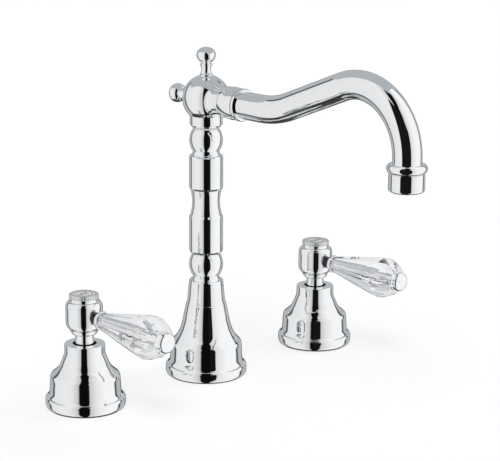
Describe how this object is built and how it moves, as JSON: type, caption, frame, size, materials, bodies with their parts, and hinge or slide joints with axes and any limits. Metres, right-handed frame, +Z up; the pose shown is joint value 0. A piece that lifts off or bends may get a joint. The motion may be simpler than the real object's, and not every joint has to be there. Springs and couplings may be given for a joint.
{
  "type": "basin mixer tap",
  "caption": "Deck-mounted basin mixer with a swivelling swan-neck spout on a turned column, and separate hot and cold valves with cut-crystal levers.",
  "frame": {"origin": "on the deck's top face, on the axis of the spout's column", "axes": "+Z up, -Y the way the spout points, +X towards the cold valve"},
  "size_m": [0.2998, 0.2588, 0.3403],
  "materials": {
    "chrome": "polished chrome plate",
    "satin_chrome": "satin chrome plate",
    "crystal": "clear cut crystal",
    "ivory": "glossy pale disc",
    "brass": "turned brass",
    "steel": "plain stainless steel",
    "rubber": "matt black rubber",
    "ceramic": "lapped white ceramic",
    "white_plastic": "white plastic"
  },
  "bodies": {
    "fixed": {"spout_bell": "chrome", "baluster_column": "chrome", "spout_gasket": "rubber", "spout_tail": "brass", "spout_deck_washer": "rubber", "spout_steel_washer": "steel", "spout_backnut": "brass", "mixing_tee": "brass", "tee_washer": "rubber", "swivel_spigot": "brass", "lower_spigot_seal": "rubber", "upper_spigot_seal": "rubber", "slip_ring": "white_plastic", "hot_bell": "chrome", "hot_gasket": "rubber", "hot_valve_body": "brass", "hot_top_nut": "brass", "hot_deck_washer": "rubber", "hot_backnut": "brass", "hot_fixed_disc": "ceramic", "hot_cartridge": "brass", "cold_bell": "chrome", "cold_gasket": "rubber", "cold_valve_body": "brass", "cold_top_nut": "brass", "cold_deck_washer": "rubber", "cold_backnut": "brass", "cold_fixed_disc": "ceramic", "cold_cartridge": "brass"},
    "spout": {"ball_head": "chrome", "lock_screw": "steel", "top_finial": "chrome", "rear_finial": "chrome", "spout_tube": "chrome", "spout_ferrule": "chrome", "outlet_bead": "chrome", "aerator_housing": "chrome", "aerator_insert": "white_plastic", "aerator_washer": "rubber"},
    "hot_handle": {"hot_moving_disc": "ceramic", "hot_spindle": "brass", "hot_handle_hub": "chrome", "hot_handle_screw": "steel", "hot_index_ring": "satin_chrome", "hot_index_disc": "ivory", "hot_lever_ferrule": "chrome", "hot_lever_rod": "steel", "hot_crystal_lever": "crystal", "hot_end_cap": "chrome"},
    "cold_handle": {"cold_moving_disc": "ceramic", "cold_spindle": "brass", "cold_handle_hub": "chrome", "cold_handle_screw": "steel", "cold_index_ring": "satin_chrome", "cold_index_disc": "ivory", "cold_lever_ferrule": "chrome", "cold_lever_rod": "steel", "cold_crystal_lever": "crystal", "cold_end_cap": "chrome"}
  },
  "joints": [
    {"name": "spout_swivel", "type": "hinge", "parent": "fixed", "child": "spout", "pos_m": [0, 0, 0.1961], "axis": [0, 0, 1], "continuous": true},
    {"name": "hot_handle_turn", "type": "hinge", "parent": "fixed", "child": "hot_handle", "pos_m": [-0.12, 0, 0.0708], "axis": [0, 0, 1], "range_deg": [-90, 0]},
    {"name": "cold_handle_turn", "type": "hinge", "parent": "fixed", "child": "cold_handle", "pos_m": [0.12, 0, 0.0708], "axis": [0, 0, 1], "range_deg": [0, 90]}
  ]
}
